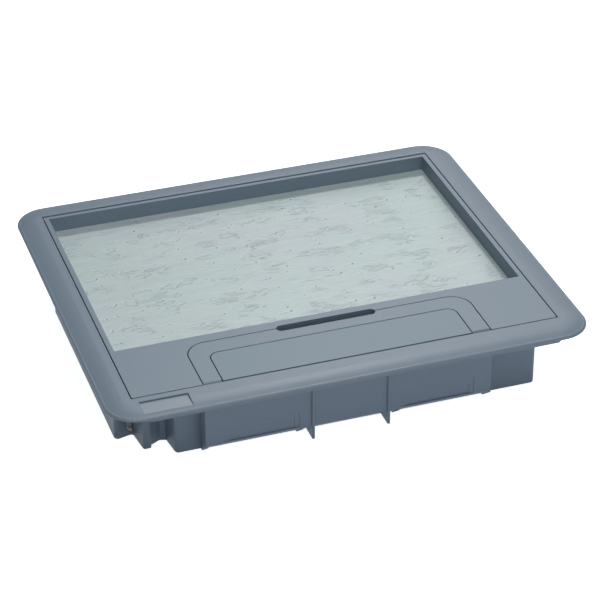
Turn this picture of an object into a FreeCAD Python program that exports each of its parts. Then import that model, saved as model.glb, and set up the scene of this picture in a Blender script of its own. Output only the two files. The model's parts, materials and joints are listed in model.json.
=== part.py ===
import FreeCAD, Part
import math
import os

os.makedirs("parts", exist_ok=True)

V = FreeCAD.Vector
UP = V(0, 0, 1)
ALONG_X = V(1, 0, 0)

# Floor socket box for a raised or screeded floor.  Millimetres.  +X runs along the long side, +Y towards
# the lid hinge, +Z up.  The origin is under the middle of the flange, on the casing's underside.

# --- overall -----------------------------------------------------------------------------------------
FRAME_LENGTH = 354.0        # flange, along X
FRAME_DEPTH = 300.0         # flange, along Y
FRAME_CORNER_R = 24.0
HEIGHT = 60.0               # casing underside to the top of the flange
FLANGE_EDGE_T = 0.6         # upright part of the flange's edge
FLANGE_T = 6.5              # thickness of the plate that lies on the casing
BAND_T = 3.5                # thickness of the domed band round that plate
CROWN_W = 14.0              # width of the domed band along the flange's edge
EDGE_ROUND_W = 2.4          # width of the rounded outer edge
EDGE_ROUND_DROP = 1.7       # how far the rounded edge ends below the top
SIDE_RAIL = 20.0            # flange edge to lid opening, left and right
FRONT_RAIL = 23.5
BACK_RAIL = 17.1
LEDGE_T = 2.2               # ledge that the lid's rim lies on
LEDGE_W = 2.2
FRONT_LEDGE_W = 11.3
BEARING_RIB_H = 3.7         # ribs under the band that meet the floor
BEARING_RIB_W = 2.5
BEARING_RIB_INSET = 3.0
BEARING_RIB_SLOPE = 4.0     # run of the ribs' chamfered ends
BADGE_LENGTH = 34.4         # bare recess on the front rail with a blank insert
BADGE_DEPTH = 13.8
BADGE_X = -135.8
BADGE_IN = 11.6             # flange edge to the middle of the recess
BADGE_SINK = 1.6
BADGE_T = 0.5

# --- casing --------------------------------------------------------------------------------------------
WALL = 2.4
CASING_HALF = 160.5         # outer face of the side walls
CASING_BACK = 135.5
FRONT_WALL_Y = -116.6
PANEL_HALF = 106.2          # bulged front panel under the cable outlet
PANEL_Y = -129.0
PANEL_WALL = 2.0
PANEL_FOOT = 10.0           # height where the panel turns back under the casing
FIN_X = 28.1
FIN_T = 1.8
FIN_OUT = 1.5
GUSSET_T = 1.8
GUSSET_X = 36.0
TOP_PLATE_T = 2.0           # plate round the casing's mouth that carries the flange
NOTCH_X = 144.0             # corner notches for the back clamps
FRONT_WALL_END = 146.0      # right end of the front wall
FRONT_NOTCH_X = 140.5
BACK_NOTCH_Y = 92.0
BACK_NOTCH_TOP = 40.0
FRONT_NOTCH_Y = -75.0
CORNER_R = 3.0
LOBE_INNER_X = -147.0       # where the front left lobe meets the tooth beside it
LOBE_INNER_Y = -84.5
BASE_CHAMFER = 1.0
BASE_HOLE_R = 2.6
BASE_HOLE_X = 118.0
BASE_HOLE_Y = 60.0
KNOCKOUT_HALF = 13.0        # square break-outs in the sides and the back
KNOCKOUT_Z = 22.0
KNOCKOUT_GROOVE = 1.0
KNOCKOUT_SINK = 0.8

# --- lid ---------------------------------------------------------------------------------------------
SEAM = 0.8                  # gap round the lid
HINGE_SEAM = 0.5
LID_RIM_T = 4.0
RIM_GAP = 0.3               # lid rim above the ledge
RECESS_RIM = 3.6            # lid edge to the recess for the floor covering
RECESS_FRONT_Y = -66.1
RECESS_DEPTH = 11.7
TRAY_WALL = 1.6
TRAY_FLOOR = 2.2
STEEL_T = 1.5
STEEL_GAP = 0.1
RIB_H = 2.4
RIB_T = 1.8
HINGE_R = 2.0
HINGE_PIN_R = 1.1
HINGE_PIN_LENGTH = 12.0
RUNNING_FIT = 0.05

# --- pull handle and cable flap ---------------------------------------------------------------------
HANDLE_HALF = 105.8
HANDLE_BACK_Y = -75.1
HANDLE_CORNER_R = 15.2
HANDLE_T = 5.0
ARM_W = 13.3
CROSSBAR_W = 14.2
INNER_CORNER_R = 7.6
GRIP_SEAM = 0.7
HANDLE_PIN_R = 1.25
HANDLE_PIN_LENGTH = 10.0
WELL_T = 1.8
SLOT_LENGTH = 74.0
SLOT_W = 7.1
POCKET_DEPTH = 14.0
POCKET_REACH = 6.0
FLAP_T = 3.0
FLAP_FRONT_GAP = 1.3
FLAP_AXIS_DROP = 8.0
FLAP_AXIS_IN = 1.6
FLAP_KNUCKLE_R = 2.4
FLAP_KNUCKLE_W = 4.4
FLAP_KNUCKLE_IN = 9.0       # flap side to the outer face of its knuckles
CHEEK_W = 3.0
CHEEK_GAP = 0.4
FLAP_PIN_R = 1.1
FOAM_W = 3.6
FOAM_H = 4.0

# --- wiring accessories -------------------------------------------------------------------------------
MODULE = 45.0
MODULES_PER_ROW = 4
ROW_PITCH = 54.0
ROWS = ("front", "middle", "back")
FIRST_ROW_Y = -28.0
SUPPORT_T = 2.5
SUPPORT_TOP = 22.5
SUPPORT_BORDER = 3.0
SUPPORT_END = 14.0
MODULE_GAP = 0.2
MODULE_LAP = 1.6            # face plate past the window's edge, onto the support
MODULE_FACE = 2.0
MODULE_BODY_DEPTH = 15.0
SOCKET_WELL_R = 19.5
SOCKET_WELL_DEPTH = 9.0
PIN_HOLE_R = 2.6
PIN_HOLE_PITCH = 19.0
EARTH_PIN_R = 2.4
PORT_W = 12.0
PORT_H = 9.0
PORT_DEPTH = 10.0
DIVIDER_T = 1.6

# --- corner clamps --------------------------------------------------------------------------------------
SCREW_R = 2.3
SCREW_CLEARANCE = 0.35
SCREW_HEAD_R = 4.0
SCREW_HEAD_H = 1.9
NUT_SIDE = 10.0
NUT_H = 6.0
COLLAR_R = 3.6
COLLAR_H = 4.0
COLLAR_LIP = 1.0
CLAMP_RING_R = 5.0
CLAMP_ARM_W = 7.0
CLAMP_TRAVEL = 20.0
NUT_GAP = 0.3
FRONT_CLAMP_ARM = 24.0
BACK_CLAMP_ARM = 22.0
TOOTH_CLAMP_ARM = 11.0

# --- worked out ------------------------------------------------------------------------------------------
TOP = HEIGHT
FLANGE_UNDER = TOP - FLANGE_T
BAND_UNDER = TOP - BAND_T
RIB_UNDER = BAND_UNDER - BEARING_RIB_H
OPEN_HALF = FRAME_LENGTH / 2 - SIDE_RAIL
OPEN_FRONT = -FRAME_DEPTH / 2 + FRONT_RAIL
OPEN_BACK = FRAME_DEPTH / 2 - BACK_RAIL
LEDGE_TOP = FLANGE_UNDER + LEDGE_T
LID_HALF = OPEN_HALF - SEAM
LID_FRONT = OPEN_FRONT + SEAM
LID_BACK = OPEN_BACK - HINGE_SEAM
LID_UNDER = LEDGE_TOP + RIM_GAP
HINGE_Y = LID_BACK - HINGE_R
HINGE_Z = TOP - HINGE_R
RECESS_HALF = LID_HALF - RECESS_RIM
RECESS_BACK = LID_BACK - HINGE_R - RECESS_RIM + 0.8
PLATE_TOP = TOP - RECESS_DEPTH
TRAY_TOP = PLATE_TOP - STEEL_T
TRAY_UNDER = TRAY_TOP - TRAY_FLOOR
HANDLE_UNDER = TOP - HANDLE_T
WELL_TOP = HANDLE_UNDER - 0.4
WELL_UNDER = WELL_TOP - WELL_T
WELL_FRONT = FRONT_WALL_Y + WALL + 0.8
HANDLE_FRONT = LID_FRONT + 0.3
HANDLE_AXIS_Y = HANDLE_FRONT + HANDLE_T / 2
HANDLE_AXIS_Z = TOP - HANDLE_T / 2
ARM_IN = HANDLE_HALF - GRIP_SEAM / 2 - ARM_W
CROSSBAR_FRONT = HANDLE_BACK_Y - GRIP_SEAM / 2 - CROSSBAR_W
FLAP_HALF = ARM_IN - GRIP_SEAM
FLAP_BACK = CROSSBAR_FRONT - GRIP_SEAM
FLAP_FRONT = OPEN_FRONT + FLAP_FRONT_GAP
FLAP_AXIS_Y = FLAP_BACK - FLAP_AXIS_IN
FLAP_AXIS_Z = TOP - FLAP_AXIS_DROP
WINDOW_BACK = FLAP_BACK + 1.5
KNUCKLE_OUT = FLAP_HALF - FLAP_KNUCKLE_IN
LEDGE_GAP_HALF = HANDLE_HALF + 7.2
SLOT_BACK = HANDLE_BACK_Y + 2.9
SLOT_FRONT = SLOT_BACK - SLOT_W
MODULE_TOP = SUPPORT_TOP + MODULE_FACE
EPS = 1.0                   # overrun of cutting tools past the faces they cut


def box(x0, x1, y0, y1, z0, z1):
    return Part.makeBox(x1 - x0, y1 - y0, z1 - z0, V(x0, y0, z0))


def rod(x, y, z0, z1, r):
    return Part.makeCylinder(r, z1 - z0, V(x, y, z0), UP)


def rod_x(x0, x1, y, z, r):
    return Part.makeCylinder(r, x1 - x0, V(x0, y, z), ALONG_X)


def outline(corners, z=0.0):
    """Closed wire through (x, y, r) corners, each rounded by its radius r."""
    edges = []
    ends = []
    count = len(corners)
    for i, (x, y, r) in enumerate(corners):
        here = V(x, y, z)
        before = V(*corners[i - 1][:2], z) - here
        after = V(*corners[(i + 1) % count][:2], z) - here
        before.normalize()
        after.normalize()
        half = before.getAngle(after) / 2
        if r <= 0:
            ends.append((here, here))
            continue
        reach = r / math.tan(half)
        middle = here + (before + after).normalize() * (r / math.sin(half) - r)
        start = here + before * reach
        stop = here + after * reach
        edges.append(Part.Arc(start, middle, stop).toShape())
        ends.append((start, stop))
    for i in range(count):
        a = ends[i][1]
        b = ends[(i + 1) % count][0]
        if a.distanceToPoint(b) > 1e-6:
            edges.append(Part.LineSegment(a, b).toShape())
    return Part.Wire(Part.__sortEdges__(edges))


def prism(corners, z0, z1):
    return Part.Face(outline(corners, z0)).extrude(V(0, 0, z1 - z0))


def inner_prism(corners, wall, z0, z1):
    face = Part.Face(outline(corners, z0)).makeOffset2D(-wall)
    return face.extrude(V(0, 0, z1 - z0))


def rounded(x0, x1, y0, y1, r):
    return [(x0, y0, r), (x1, y0, r), (x1, y1, r), (x0, y1, r)]


def side_prism(points, x0, x1):
    """Prism along X from (y, z) points."""
    wire = Part.makePolygon([V(x0, y, z) for y, z in points + points[:1]])
    return Part.Face(wire).extrude(V(x1 - x0, 0, 0))


def save(name, shape):
    shape = shape.removeSplitter()
    solids = shape.Solids
    if len(solids) == 1:
        shape = solids[0]
    print(name, "solids", len(solids), "valid", shape.isValid(), "volume", round(shape.Volume / 1000, 2), "cm3")
    shape.exportStep("parts/" + name + ".step")


# --- flange -------------------------------------------------------------------------------------------------
def crown_band():
    """The domed band along the flange's edge, swept round the four corners."""
    hx = FRAME_LENGTH / 2
    hy = FRAME_DEPTH / 2
    spine = outline(rounded(-hx, hx, -hy, hy, FRAME_CORNER_R), BAND_UNDER)

    def at(inboard, z):
        return V(0, inboard - hy, z)

    shoulder = BAND_UNDER + FLANGE_EDGE_T
    round_end = TOP - EDGE_ROUND_DROP
    edge_mid = at(EDGE_ROUND_W * 0.27, shoulder + (round_end - shoulder) * 0.64)
    dome_mid = at((EDGE_ROUND_W + CROWN_W) / 2, TOP - EDGE_ROUND_DROP * 0.27)
    profile = Part.Wire([
        Part.LineSegment(at(0, BAND_UNDER), at(0, shoulder)).toShape(),
        Part.Arc(at(0, shoulder), edge_mid, at(EDGE_ROUND_W, round_end)).toShape(),
        Part.Arc(at(EDGE_ROUND_W, round_end), dome_mid, at(CROWN_W, TOP)).toShape(),
        Part.LineSegment(at(CROWN_W, TOP), at(CROWN_W, BAND_UNDER)).toShape(),
        Part.LineSegment(at(CROWN_W, BAND_UNDER), at(0, BAND_UNDER)).toShape()])
    sweep = Part.BRepOffsetAPI.MakePipeShell(spine)
    sweep.setFrenetMode(True)
    sweep.add(profile)
    sweep.build()
    sweep.makeSolid()
    return sweep.shape()


def bearing_ribs():
    """Straight ribs along the four sides, sloping away at the corners."""
    ribs = []
    for size, other in ((FRAME_LENGTH, FRAME_DEPTH), (FRAME_DEPTH, FRAME_LENGTH)):
        end = size / 2 - FRAME_CORNER_R
        foot = end - BEARING_RIB_SLOPE
        outer = BEARING_RIB_INSET - other / 2
        face = Part.Face(Part.makePolygon([V(-end, outer, BAND_UNDER), V(-foot, outer, RIB_UNDER),
                                           V(foot, outer, RIB_UNDER), V(end, outer, BAND_UNDER),
                                           V(-end, outer, BAND_UNDER)]))
        rib = face.extrude(V(0, BEARING_RIB_W, 0))
        for half_turn in (0, 180):
            turn = half_turn + (90 if size < other else 0)
            ribs.append(rib.rotated(V(0, 0, 0), UP, turn))
    return ribs


def badge_box(z0, z1, play):
    y_mid = BADGE_IN - FRAME_DEPTH / 2
    return box(BADGE_X - BADGE_LENGTH / 2 + play, BADGE_X + BADGE_LENGTH / 2 - play,
               y_mid - BADGE_DEPTH / 2 + play, y_mid + BADGE_DEPTH / 2 - play, z0, z1)


def trim_frame():
    hx = FRAME_LENGTH / 2 - CROWN_W
    hy = FRAME_DEPTH / 2 - CROWN_W
    inner_r = FRAME_CORNER_R - CROWN_W
    plate = prism(rounded(-hx, hx, -hy, hy, inner_r), FLANGE_UNDER, TOP)
    body = crown_band().fuse(plate).fuse(bearing_ribs())
    body = body.cut(box(-OPEN_HALF, OPEN_HALF, OPEN_FRONT, OPEN_BACK, LEDGE_TOP, TOP + EPS))
    ledge_half = OPEN_HALF - LEDGE_W
    ledge_front = OPEN_FRONT + FRONT_LEDGE_W
    low = FLANGE_UNDER - EPS
    body = body.cut(box(-ledge_half, ledge_half, ledge_front, OPEN_BACK - LEDGE_W - 0.9, low, TOP))
    body = body.cut(box(-LEDGE_GAP_HALF, LEDGE_GAP_HALF, OPEN_FRONT, ledge_front + EPS, low, TOP))
    body = body.cut(badge_box(TOP - BADGE_SINK, TOP + EPS, 0.0))
    for side in (-1, 1):
        inner = side * (OPEN_HALF - EPS)
        outer = side * (LID_HALF + HINGE_PIN_LENGTH / 2 + 0.1)
        body = body.cut(rod_x(min(inner, outer), max(inner, outer), HINGE_Y, HINGE_Z, HINGE_PIN_R))
    for clamp in CLAMPS:
        if clamp["ceiling"] > BACK_NOTCH_TOP:
            body = body.cut(rod(clamp["x"], clamp["y"], low, TOP - 0.1, SCREW_HEAD_R + 0.3)
                            .common(box(-OPEN_HALF, OPEN_HALF, OPEN_FRONT, OPEN_BACK, low, LEDGE_TOP)))
    return body


# --- casing -----------------------------------------------------------------------------------------------------
def casing_corners():
    """Plan of the casing, anticlockwise from the front left corner of its front wall."""
    r = CORNER_R
    stub = FRONT_WALL_Y + WALL + 2.2
    return [
        (-124.5, FRONT_WALL_Y, r),
        (FRONT_WALL_END, FRONT_WALL_Y, r),
        (FRONT_WALL_END, stub, 1.2),
        (FRONT_NOTCH_X, stub, 0),
        (FRONT_NOTCH_X, FRONT_NOTCH_Y, r),
        (CASING_HALF, FRONT_NOTCH_Y, r),
        (CASING_HALF, BACK_NOTCH_Y, r),
        (NOTCH_X, BACK_NOTCH_Y, r),
        (NOTCH_X, CASING_BACK, r),
        (-NOTCH_X, CASING_BACK, r),
        (-NOTCH_X, BACK_NOTCH_Y, r),
        (-CASING_HALF, BACK_NOTCH_Y, r),
        (-CASING_HALF, LOBE_INNER_Y - 3.5, r),
        (LOBE_INNER_X, LOBE_INNER_Y, 2.0),
        (-144.5, -105.0, 1.6),
        (-138.8, -105.0, 1.2),
        (-138.2, -101.8, 0),
        (-130.7, -97.8, 2.0),
        (-126.7, -99.0, 1.2)]


def mouth_corners():
    r = CORNER_R
    return [(-CASING_HALF, FRONT_WALL_Y, r), (CASING_HALF, FRONT_WALL_Y, r),
            (CASING_HALF, CASING_BACK, r), (-CASING_HALF, CASING_BACK, r)]


def front_panel():
    """Bulged panel under the cable outlet, turned back to the base along its foot."""
    outer = [(FRONT_WALL_Y, 0.0), (PANEL_Y, PANEL_FOOT), (PANEL_Y, FLANGE_UNDER),
             (FRONT_WALL_Y + WALL, FLANGE_UNDER), (FRONT_WALL_Y + WALL, 0.0)]
    shell = side_prism(outer, -PANEL_HALF, PANEL_HALF)
    extras = []
    for side in (-1, 1):
        x = side * FIN_X
        fin = [(FRONT_WALL_Y, 0.0), (PANEL_Y - FIN_OUT, 0.0), (PANEL_Y - FIN_OUT, FLANGE_UNDER),
               (FRONT_WALL_Y, FLANGE_UNDER)]
        extras.append(side_prism(fin, x - FIN_T / 2, x + FIN_T / 2))
        for edge in (GUSSET_X, PANEL_HALF - GUSSET_T / 2):
            x = side * edge
            gusset = [(FRONT_WALL_Y, 0.0), (FRONT_WALL_Y - 1.6, 0.0), (PANEL_Y, PANEL_FOOT - 1.3),
                      (PANEL_Y, PANEL_FOOT), (FRONT_WALL_Y, PANEL_FOOT)]
            extras.append(side_prism(gusset, x - GUSSET_T / 2, x + GUSSET_T / 2))
    return shell.fuse(extras)


def panel_hollow():
    inner = [(FRONT_WALL_Y + WALL + EPS, WALL), (FRONT_WALL_Y + 0.9, WALL),
             (PANEL_Y + PANEL_WALL, PANEL_FOOT + 1.0), (PANEL_Y + PANEL_WALL, FLANGE_UNDER + EPS),
             (FRONT_WALL_Y + WALL + EPS, FLANGE_UNDER + EPS)]
    return side_prism(inner, -PANEL_HALF + PANEL_WALL, PANEL_HALF - PANEL_WALL)


def panel_knockouts():
    """Stepped outlines of the two break-out plates in the front panel."""
    cuts = []
    for side in (-1, 1):
        for step, (near, far, top) in enumerate(((38.0, 93.0, 24.0), (41.5, 89.5, 20.0))):
            x0, x1 = sorted((side * near, side * far))
            depth = 0.35 * (step + 1)
            cuts.append(box(x0, x1, PANEL_Y - EPS, PANEL_Y + depth, PANEL_FOOT + 1.5, top))
    return cuts


def square_groove(across, out, x, y):
    """Groove round a square plate that stands upright, facing along `out`."""
    half = KNOCKOUT_HALF
    rim = half + KNOCKOUT_GROOVE
    ring = box(-rim, rim, -KNOCKOUT_SINK, EPS, KNOCKOUT_Z - rim, KNOCKOUT_Z + rim)
    ring = ring.cut(box(-half, half, -KNOCKOUT_SINK - EPS, 2 * EPS, KNOCKOUT_Z - half, KNOCKOUT_Z + half))
    ring = ring.rotated(V(0, 0, 0), UP, out)
    return ring.translated(V(x, y, 0) + across)


def side_knockouts():
    cuts = []
    for shift in (-45.0, 0.0, 45.0):
        cuts.append(square_groove(V(0, shift, 0), -90, CASING_HALF, 0))
        cuts.append(square_groove(V(0, shift, 0), 90, -CASING_HALF, 0))
    for shift in (-105.0, -35.0, 35.0, 105.0):
        cuts.append(square_groove(V(shift, 0, 0), 0, 0, CASING_BACK))
    return cuts


def casing():
    corners = casing_corners()
    outer = prism(corners, 0.0, FLANGE_UNDER)
    rim = [e for e in outer.Edges if e.BoundBox.ZMax < 0.01]
    outer = outer.makeChamfer(BASE_CHAMFER, rim)
    # the two back notches end at a ceiling, so that the lid's tray has room above them
    for side in (-1, 1):
        x0, x1 = sorted((side * (NOTCH_X - WALL), side * CASING_HALF))
        outer = outer.fuse(box(x0, x1, BACK_NOTCH_Y - WALL, CASING_BACK, BACK_NOTCH_TOP - WALL, FLANGE_UNDER))
    plate = prism(mouth_corners(), FLANGE_UNDER - TOP_PLATE_T, FLANGE_UNDER)
    body = outer.fuse([plate, front_panel()])
    inner = inner_prism(corners, WALL, WALL, FLANGE_UNDER + EPS)
    body = body.cut(inner).cut(panel_hollow())
    for side in (-1, 1):
        x0, x1 = sorted((side * (NOTCH_X - WALL - EPS), side * (CASING_HALF - WALL)))
        body = body.cut(box(x0, x1, BACK_NOTCH_Y - WALL - EPS, CASING_BACK - WALL,
                            BACK_NOTCH_TOP, FLANGE_UNDER + EPS))
    body = body.cut(panel_knockouts()).cut(side_knockouts())
    for x in (-BASE_HOLE_X, BASE_HOLE_X):
        for y in (-BASE_HOLE_Y, BASE_HOLE_Y):
            body = body.cut(rod(x, y, -EPS, WALL + EPS, BASE_HOLE_R))
    for clamp in CLAMPS:
        z = clamp["ceiling"]
        body = body.cut(rod(clamp["x"], clamp["y"], z - WALL - EPS, z + EPS,
                            SCREW_R + SCREW_CLEARANCE))
    return body


def casing_pieces():
    """The moulding in simple pieces that meet face to face: floor, four sides and the bulged panel."""
    shell = casing()
    far = FRAME_LENGTH
    low = -EPS
    high = FLANGE_UNDER + EPS
    floor = shell.common(inner_prism(casing_corners(), WALL, low, WALL))
    shell = shell.cut(floor)
    panel = box(-PANEL_HALF - EPS, PANEL_HALF + EPS, -far, FRONT_WALL_Y, low, high)
    back = box(-far, far, BACK_NOTCH_Y, far, low, high)
    right = box(0, far, FRONT_NOTCH_Y, BACK_NOTCH_Y, low, high)
    left = box(-far, 0, LOBE_INNER_Y, BACK_NOTCH_Y, low, high)
    left = left.fuse(box(-far, LOBE_INNER_X, LOBE_INNER_Y - 2 * CORNER_R, BACK_NOTCH_Y, low, high))
    pieces = {"casing_floor": floor}
    for name, region in (("cable_panel", panel), ("casing_back", back), ("casing_right", right), ("casing_left", left)):
        pieces[name] = shell.common(region)
        shell = shell.cut(region)
    pieces["casing_front"] = shell
    return pieces


# --- lid ----------------------------------------------------------------------------------------------------------
def finger_slot(z0, z1):
    r = SLOT_W / 2
    half = SLOT_LENGTH / 2
    return prism(rounded(-half, half, SLOT_FRONT, SLOT_BACK, r - 0.01), z0, z1)


def grip_corners(grow, front):
    half = HANDLE_HALF + grow
    r = HANDLE_CORNER_R + grow
    return [(-half, front, 0), (half, front, 0), (half, HANDLE_BACK_Y + grow, r), (-half, HANDLE_BACK_Y + grow, r)]


def lid():
    rim_r = 1.2
    rim = [(-LID_HALF, LID_FRONT, rim_r), (LID_HALF, LID_FRONT, rim_r),
           (LID_HALF, HINGE_Y, 0), (-LID_HALF, HINGE_Y, 0)]
    body = prism(rim, LID_UNDER, TOP)
    body = body.fuse(rod_x(-LID_HALF, LID_HALF, HINGE_Y, HINGE_Z, HINGE_R))
    wall_half = RECESS_HALF + TRAY_WALL
    tray = box(-wall_half, wall_half, RECESS_FRONT_Y - TRAY_WALL, RECESS_BACK + TRAY_WALL, TRAY_UNDER, TOP - 1.0)
    well = prism(grip_corners(1.6, WELL_FRONT), WELL_UNDER, TOP - 1.0)
    pocket = box(-SLOT_LENGTH / 2 - TRAY_WALL, SLOT_LENGTH / 2 + TRAY_WALL, SLOT_FRONT - POCKET_REACH - TRAY_WALL,
                 SLOT_BACK + TRAY_WALL, TOP - POCKET_DEPTH - TRAY_WALL, TOP - 1.0)
    body = body.fuse([tray, well, pocket] + lid_ribs() + lid_cheeks())
    body = body.cut(box(-RECESS_HALF, RECESS_HALF, RECESS_FRONT_Y, RECESS_BACK, TRAY_TOP, TOP + EPS))
    body = body.cut(prism(grip_corners(GRIP_SEAM / 2, LID_FRONT - EPS), WELL_TOP, TOP + EPS))
    body = body.cut(box(-ARM_IN, ARM_IN, LID_FRONT - EPS, WINDOW_BACK, TRAY_UNDER, TOP + EPS)
                    .cut(lid_cheeks()[0]).cut(lid_cheeks()[1]))
    body = body.cut(finger_slot(TOP - POCKET_DEPTH, TOP + EPS))
    body = body.cut(box(-SLOT_LENGTH / 2, SLOT_LENGTH / 2, SLOT_FRONT - POCKET_REACH, SLOT_BACK,
                        TOP - POCKET_DEPTH, WELL_TOP + 0.1))
    for side in (-1, 1):
        tip = side * (KNUCKLE_OUT + CHEEK_GAP + CHEEK_W + EPS)
        base = side * (KNUCKLE_OUT - FLAP_KNUCKLE_W)
        body = body.cut(rod_x(min(tip, base), max(tip, base), FLAP_AXIS_Y, FLAP_AXIS_Z, FLAP_PIN_R))
        inner = side * (HANDLE_HALF - EPS)
        outer = side * (HANDLE_HALF + HANDLE_PIN_LENGTH / 2)
        body = body.cut(rod_x(min(inner, outer), max(inner, outer), HANDLE_AXIS_Y, HANDLE_AXIS_Z, HANDLE_PIN_R))
        inner = side * (LID_HALF + EPS)
        outer = side * (LID_HALF - HINGE_PIN_LENGTH / 2 - 0.1)
        body = body.cut(rod_x(min(inner, outer), max(inner, outer), HINGE_Y, HINGE_Z, HINGE_PIN_R + RUNNING_FIT))
    return body


def lid_pieces():
    """The lid in simple pieces that meet face to face: its top panel, the tray and the well under the handle."""
    whole = lid()
    behind = RECESS_FRONT_Y - TRAY_WALL - EPS
    tray = box(-LID_HALF, LID_HALF, behind, LID_BACK, 0, LID_UNDER)
    well = box(-LID_HALF, LID_HALF, WELL_FRONT - EPS, behind, 0, LID_UNDER)
    return {"lid_tray": whole.common(tray), "grip_well": whole.common(well), "lid_panel": whole.cut(tray).cut(well)}


def lid_ribs():
    """Stiffening ribs under the tray, crossing in a grid, and under the plain front corners."""
    half = RECESS_HALF
    ribs = []
    depth = RECESS_BACK - RECESS_FRONT_Y
    for i in range(1, 4):
        y = RECESS_FRONT_Y + depth * i / 4
        ribs.append(box(-half, half, y - RIB_T / 2, y + RIB_T / 2, TRAY_UNDER - RIB_H, TRAY_UNDER + 0.1))
    for i in range(1, 6):
        x = -half + 2 * half * i / 6
        ribs.append(box(x - RIB_T / 2, x + RIB_T / 2, RECESS_FRONT_Y, RECESS_BACK,
                        TRAY_UNDER - RIB_H, TRAY_UNDER + 0.1))
    return ribs


def lid_cheeks():
    """Ears under the lid that carry the flap's pins, and blocks beside the handle's ends for its pins."""
    ears = []
    for side in (-1, 1):
        x0, x1 = sorted((side * (KNUCKLE_OUT + CHEEK_GAP), side * (KNUCKLE_OUT + CHEEK_GAP + CHEEK_W)))
        ears.append(box(x0, x1, FLAP_AXIS_Y - 3.6, FLAP_AXIS_Y + 5.6, FLAP_AXIS_Z - 3.6, WELL_TOP))
    for side in (-1, 1):
        x0, x1 = sorted((side * (HANDLE_HALF + GRIP_SEAM / 2), side * (HANDLE_HALF + 6.5)))
        ears.append(box(x0, x1, LID_FRONT, HANDLE_AXIS_Y + 5.0, FLANGE_UNDER + 0.3, LID_UNDER + 0.1))
    return ears


def steel_plate():
    half = RECESS_HALF - STEEL_GAP
    return box(-half, half, RECESS_FRONT_Y + STEEL_GAP, RECESS_BACK - STEEL_GAP, TRAY_TOP, PLATE_TOP)


def hinge_pin(side):
    x = side * LID_HALF
    return rod_x(x - HINGE_PIN_LENGTH / 2, x + HINGE_PIN_LENGTH / 2, HINGE_Y, HINGE_Z, HINGE_PIN_R)


def pull_handle():
    front = HANDLE_AXIS_Y
    body = prism(grip_corners(-GRIP_SEAM / 2, front), HANDLE_UNDER, TOP)
    body = body.fuse(rod_x(-HANDLE_HALF + GRIP_SEAM / 2, HANDLE_HALF - GRIP_SEAM / 2, HANDLE_AXIS_Y, HANDLE_AXIS_Z,
                           HANDLE_T / 2))
    r = INNER_CORNER_R
    inner = [(-ARM_IN, LID_FRONT - 2 * EPS, 0), (ARM_IN, LID_FRONT - 2 * EPS, 0),
             (ARM_IN, CROSSBAR_FRONT, r), (-ARM_IN, CROSSBAR_FRONT, r)]
    body = body.cut(prism(inner, HANDLE_UNDER - EPS, TOP + EPS))
    body = body.cut(finger_slot(HANDLE_UNDER - EPS, TOP + EPS))
    for side in (-1, 1):
        inner_x = side * (HANDLE_HALF - HANDLE_PIN_LENGTH / 2 - 0.3)
        outer_x = side * (HANDLE_HALF + EPS)
        body = body.cut(rod_x(min(inner_x, outer_x), max(inner_x, outer_x), HANDLE_AXIS_Y, HANDLE_AXIS_Z,
                              HANDLE_PIN_R + RUNNING_FIT))
    return body


def handle_pin(side):
    x = side * HANDLE_HALF
    return rod_x(x - HANDLE_PIN_LENGTH / 2, x + HANDLE_PIN_LENGTH / 2, HANDLE_AXIS_Y, HANDLE_AXIS_Z, HANDLE_PIN_R)


def cable_flap():
    r = INNER_CORNER_R - GRIP_SEAM
    plan = [(-FLAP_HALF, FLAP_FRONT, 0), (FLAP_HALF, FLAP_FRONT, 0), (FLAP_HALF, FLAP_BACK, r), (-FLAP_HALF, FLAP_BACK, r)]
    body = prism(plan, TOP - FLAP_T, TOP)
    for side in (-1, 1):
        x0, x1 = sorted((side * KNUCKLE_OUT, side * (KNUCKLE_OUT - FLAP_KNUCKLE_W)))
        web = box(x0, x1, FLAP_AXIS_Y - FLAP_KNUCKLE_R, FLAP_AXIS_Y, FLAP_AXIS_Z, TOP - FLAP_T)
        body = body.fuse([web, rod_x(x0, x1, FLAP_AXIS_Y, FLAP_AXIS_Z, FLAP_KNUCKLE_R)])
        body = body.cut(rod_x(x0 - EPS, x1 + EPS, FLAP_AXIS_Y, FLAP_AXIS_Z, FLAP_PIN_R + RUNNING_FIT))
    return body


def flap_pin(side):
    inner = side * (KNUCKLE_OUT - FLAP_KNUCKLE_W + 0.4)
    outer = side * (KNUCKLE_OUT + CHEEK_GAP + CHEEK_W)
    return rod_x(min(inner, outer), max(inner, outer), FLAP_AXIS_Y, FLAP_AXIS_Z, FLAP_PIN_R)


def flap_foam():
    half = FLAP_HALF - FLAP_KNUCKLE_W
    return box(-half, half, FLAP_FRONT + 0.4, FLAP_FRONT + 0.4 + FOAM_W, TOP - FLAP_T - FOAM_H, TOP - FLAP_T)


def badge_blank():
    return badge_box(TOP - BADGE_SINK, TOP - BADGE_SINK + BADGE_T, 0.15)


# --- wiring accessories ------------------------------------------------------------------------------------------------
def row_y(row):
    return FIRST_ROW_Y + row * ROW_PITCH


def module_x(slot):
    return (slot - (MODULES_PER_ROW - 1) / 2) * MODULE


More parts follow.
